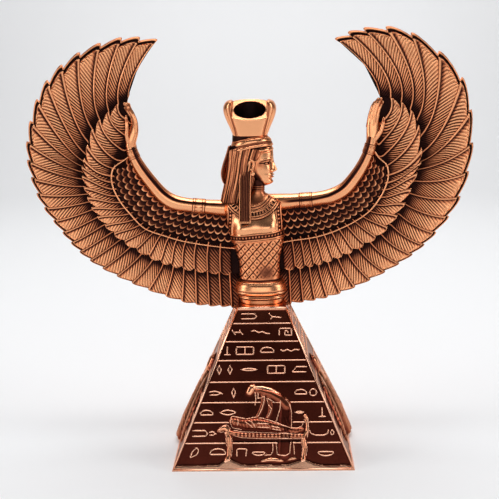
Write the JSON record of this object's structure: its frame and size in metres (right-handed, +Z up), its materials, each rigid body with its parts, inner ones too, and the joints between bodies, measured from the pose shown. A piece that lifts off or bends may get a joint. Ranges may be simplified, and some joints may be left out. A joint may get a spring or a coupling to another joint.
{
  "type": "winged goddess candle holder",
  "caption": "Copper-finished winged goddess figure with raised wings and a candle cup on its head, standing on a pyramid plinth with relief carving.",
  "frame": {"origin": "middle of the plinth's square underside", "axes": "+Z up, +X to the viewer's right along the wings, the figure's front faces -Y"},
  "size_m": [0.3117, 0.125, 0.2976],
  "materials": {
    "antiqued_copper": "polished copper plating over cast resin, with dark brown patina left in the recesses",
    "dark_red_copper": "glossy dark red-brown lacquered copper, rubbed bright on the raised strokes, edges and foot strip"
  },
  "bodies": {
    "root": {"winged_figure": "antiqued_copper", "pyramid_plinth": "dark_red_copper"}
  },
  "joints": []
}
